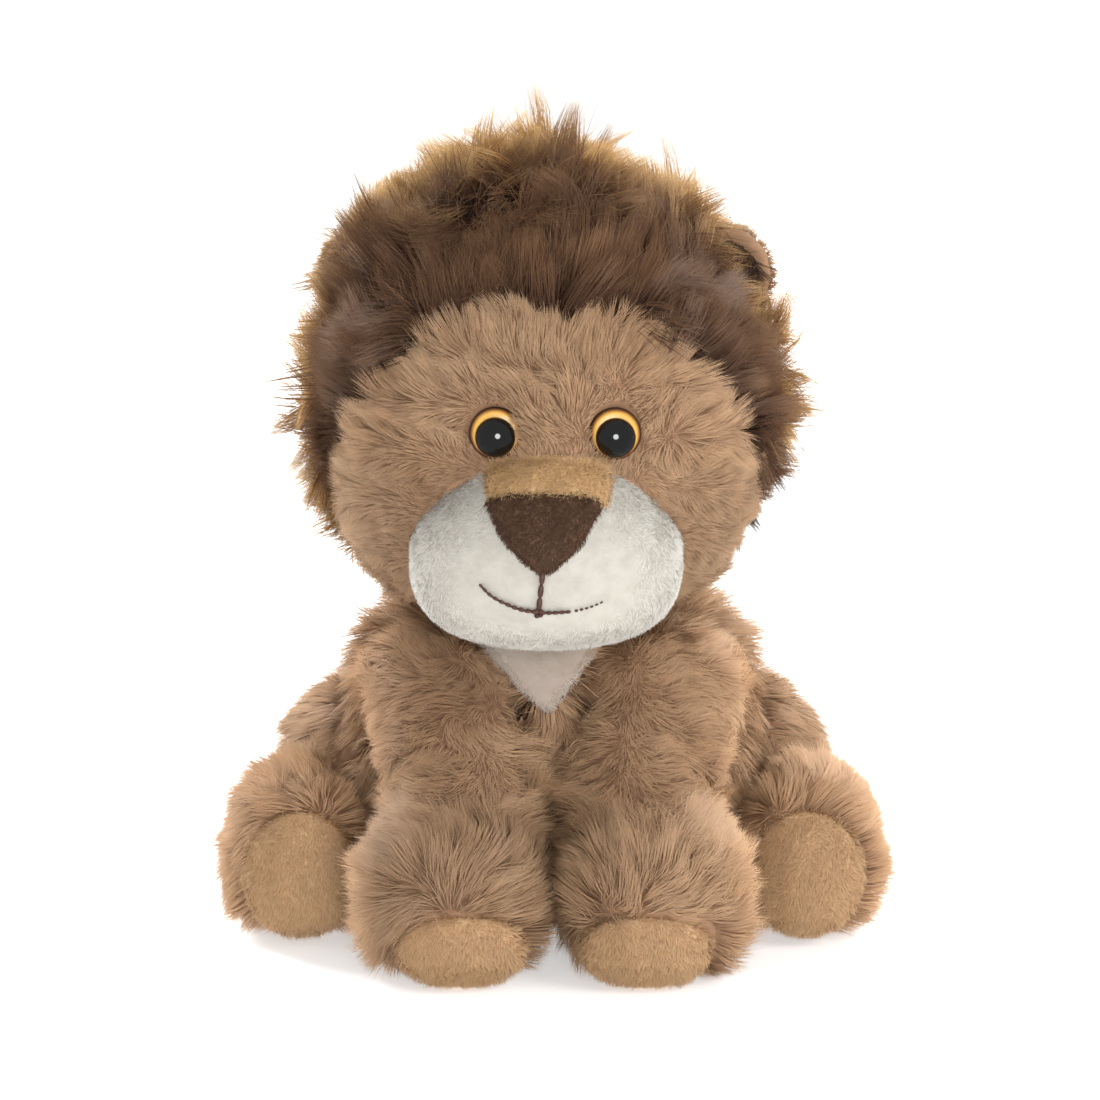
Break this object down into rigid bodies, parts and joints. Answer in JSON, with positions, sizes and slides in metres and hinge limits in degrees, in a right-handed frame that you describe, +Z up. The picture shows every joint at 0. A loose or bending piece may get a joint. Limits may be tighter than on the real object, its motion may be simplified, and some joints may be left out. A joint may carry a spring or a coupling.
{
  "type": "plush lion",
  "caption": "Seated stuffed lion with a dark mane, pale muzzle, glossy safety eyes and a soft tail. Its head turns and its sewn-on legs swing.",
  "frame": {"origin": "centre of the oval seat panel's underside, on the surface that the toy sits on", "axes": "+Z up, the lion faces -Y, +X to the lion's own left"},
  "size_m": [0.1814, 0.1764, 0.213],
  "materials": {
    "plush": "short fluffy polyester plush, matte",
    "mane": "long polyester pile with golden tips",
    "white_nap": "very short minky nap, matte",
    "tan_nap": "very short minky nap, matte",
    "brown_nap": "very short minky nap, matte",
    "cloth": "plain woven polyester",
    "amber": "glossy amber plastic",
    "black": "polished black plastic",
    "washer": "moulded natural plastic"
  },
  "bodies": {
    "body": {"body": "plush", "chest_bib": "white_nap", "seat_panel": "plush", "pellet_bag": "cloth"},
    "head": {"head": "plush", "mane": "mane", "muzzle": "white_nap", "muzzle_bridge": "tan_nap", "nose": "brown_nap", "ear_left": "plush", "ear_lining_left": "mane", "ear_right": "plush", "ear_lining_right": "mane", "eye_iris_left": "amber", "eye_pupil_left": "black", "eye_washer_left": "washer", "eye_iris_right": "amber", "eye_pupil_right": "black", "eye_washer_right": "washer"},
    "front_leg_left": {"front_leg_left": "plush", "front_paw_pad_left": "tan_nap"},
    "front_leg_right": {"front_leg_right": "plush", "front_paw_pad_right": "tan_nap"},
    "hind_leg_left": {"hind_leg_left": "plush", "hind_foot_pad_left": "tan_nap"},
    "hind_leg_right": {"hind_leg_right": "plush", "hind_foot_pad_right": "tan_nap"},
    "tail": {"tail": "plush", "tail_tuft": "mane"}
  },
  "joints": [
    {"name": "neck_turn", "type": "hinge", "parent": "body", "child": "head", "pos_m": [0, -0.004, 0.086], "axis": [0, 0, 1], "range_deg": [-20, 20], "stiffness_Nm_per_rad": 0.03},
    {"name": "front_leg_left_swing", "type": "hinge", "parent": "body", "child": "front_leg_left", "pos_m": [0.0285, -0.022, 0.068], "axis": [-1, 0, 0], "range_deg": [0, 40], "stiffness_Nm_per_rad": 0.02},
    {"name": "front_leg_right_swing", "type": "hinge", "parent": "body", "child": "front_leg_right", "pos_m": [-0.0285, -0.022, 0.068], "axis": [-1, 0, 0], "range_deg": [0, 40], "stiffness_Nm_per_rad": 0.02},
    {"name": "hind_leg_left_lift", "type": "hinge", "parent": "body", "child": "hind_leg_left", "pos_m": [0.05, 0.016, 0.036], "axis": [-1, 0, 0], "range_deg": [0, 15], "stiffness_Nm_per_rad": 0.02},
    {"name": "hind_leg_right_lift", "type": "hinge", "parent": "body", "child": "hind_leg_right", "pos_m": [-0.05, 0.016, 0.036], "axis": [-1, 0, 0], "range_deg": [0, 15], "stiffness_Nm_per_rad": 0.02},
    {"name": "tail_sweep", "type": "hinge", "parent": "body", "child": "tail", "pos_m": [0, 0.044, 0.018], "axis": [0, 0, 1], "range_deg": [-30, 30], "stiffness_Nm_per_rad": 0.002}
  ]
}
